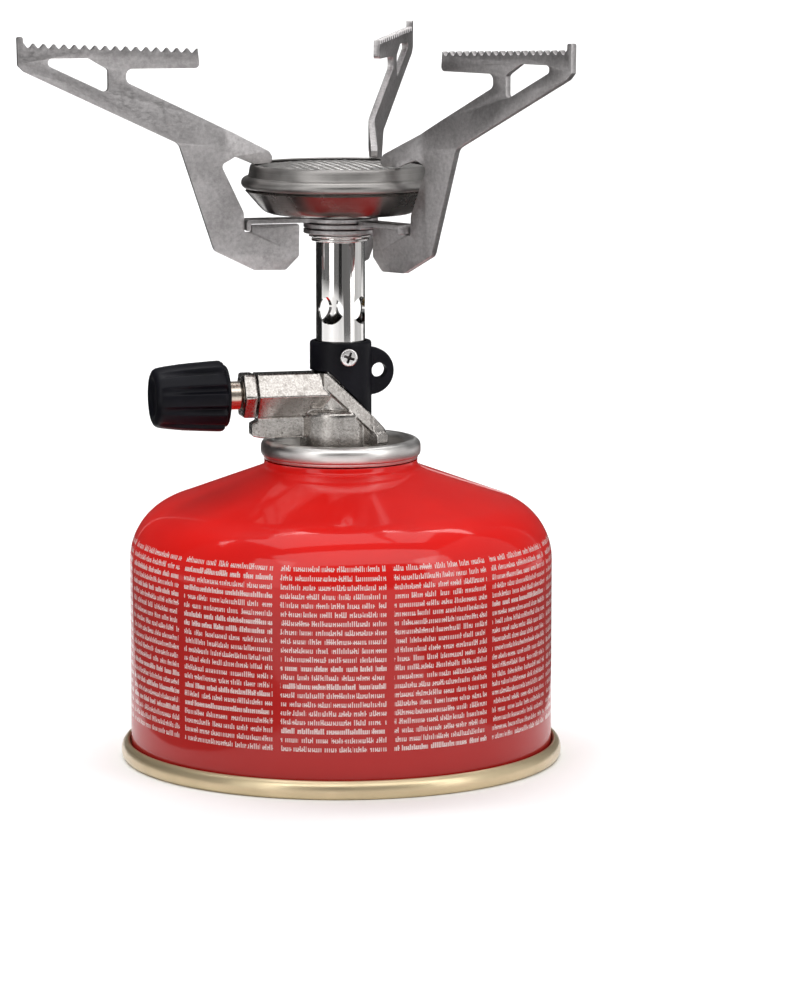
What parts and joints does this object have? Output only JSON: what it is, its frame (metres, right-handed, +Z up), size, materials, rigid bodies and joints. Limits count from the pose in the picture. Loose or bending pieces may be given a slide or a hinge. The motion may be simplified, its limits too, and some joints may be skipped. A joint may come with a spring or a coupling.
{
  "type": "canister stove",
  "caption": "Screw-on gas stove on a domed gas canister, with folding toothed pot supports, a disc burner, an upright mixing tube and a ribbed side knob.",
  "frame": {"origin": "centre of the object's footprint on the surface that it stands on; the canister's axis is the vertical line at x 0.0107, y 0", "axes": "+Z up along the canister's and the mixing tube's axis; -X the way the control knob points; the sleeve's screw faces -Y"},
  "size_m": [0.1157, 0.1219, 0.1539],
  "materials": {
    "red_lacquer": "glossy",
    "gold_lacquer": "satin",
    "tinplate": "satin",
    "plated_casting": "mottled bright",
    "chromed_tube": "polished",
    "stainless_sheet": "satin",
    "burner_steel": "polished",
    "black_plastic": "matte",
    "brass": "turned",
    "black_rubber": "matte",
    "white_nylon": "matte",
    "bright_steel": "bright"
  },
  "bodies": {
    "canister": {"canister_shell": "red_lacquer", "canister_base": "gold_lacquer", "valve_cup": "tinplate", "cup_gasket": "black_rubber", "canister_valve_housing": "white_nylon", "canister_valve_gasket": "black_rubber", "canister_valve_spring": "bright_steel"},
    "canister_stem": {"canister_valve_stem": "white_nylon"},
    "seal": {"thread_seal": "black_rubber"},
    "stove": {"valve_body": "plated_casting", "depressor_pin": "brass", "gland_nut": "plated_casting", "jet": "brass", "jet_filter": "brass", "tube_clamp": "black_plastic", "clamp_screw": "bright_steel", "burner_tube": "chromed_tube", "tube_clip": "bright_steel", "wave_washer": "bright_steel", "burner_cup": "burner_steel", "burner_rim": "burner_steel", "burner_plate": "stainless_sheet", "flame_spreader": "stainless_sheet"},
    "spindle_seal": {"spindle_oring": "black_rubber"},
    "knob": {"control_knob": "black_plastic", "valve_spindle": "bright_steel"},
    "support_left": {"pot_support_left": "stainless_sheet", "carrier_left": "stainless_sheet"},
    "support_back": {"pot_support_back": "stainless_sheet", "carrier_back": "stainless_sheet"},
    "support_front": {"pot_support_front": "stainless_sheet", "carrier_front": "stainless_sheet"}
  },
  "joints": [
    {"name": "thread_lift", "type": "slide", "parent": "canister", "child": "seal", "axis": [0, 0, 1], "range_m": [0, 0.005]},
    {"name": "stove_unscrew", "type": "hinge", "parent": "seal", "child": "stove", "pos_m": [0.0107, 0, 0.07], "axis": [0, 0, 1], "range_deg": [0, 1980]},
    {"name": "stem_travel", "type": "slide", "parent": "canister", "child": "canister_stem", "axis": [0, 0, 1], "range_m": [0, 0.001], "deforming": ["canister_valve_spring"]},
    {"name": "spindle_travel", "type": "slide", "parent": "stove", "child": "spindle_seal", "axis": [-1, 0, 0], "range_m": [0, 0.00125]},
    {"name": "knob_turn", "type": "hinge", "parent": "spindle_seal", "child": "knob", "pos_m": [0.0107, 0, 0.0781], "axis": [-1, 0, 0], "range_deg": [0, 540]},
    {"name": "supports_turn", "type": "hinge", "parent": "stove", "child": "support_left", "pos_m": [0.0107, 0, 0.113], "axis": [0, 0, 1], "range_deg": [-180, 180]},
    {"name": "support_back_fold", "type": "hinge", "parent": "support_left", "child": "support_back", "pos_m": [0.0107, 0, 0.113], "axis": [0, 0, 1], "range_deg": [-30, 75]},
    {"name": "support_front_fold", "type": "hinge", "parent": "support_left", "child": "support_front", "pos_m": [0.0107, 0, 0.113], "axis": [0, 0, -1], "range_deg": [-30, 75]}
  ],
  "couplings": [
    {"joint": "thread_lift", "follows": "stove_unscrew", "m_per_rad": 0.00014436},
    {"joint": "stem_travel", "follows": "stove_unscrew", "m_per_rad": 0.0000289},
    {"joint": "spindle_travel", "follows": "knob_turn", "m_per_rad": 0.00012732}
  ]
}
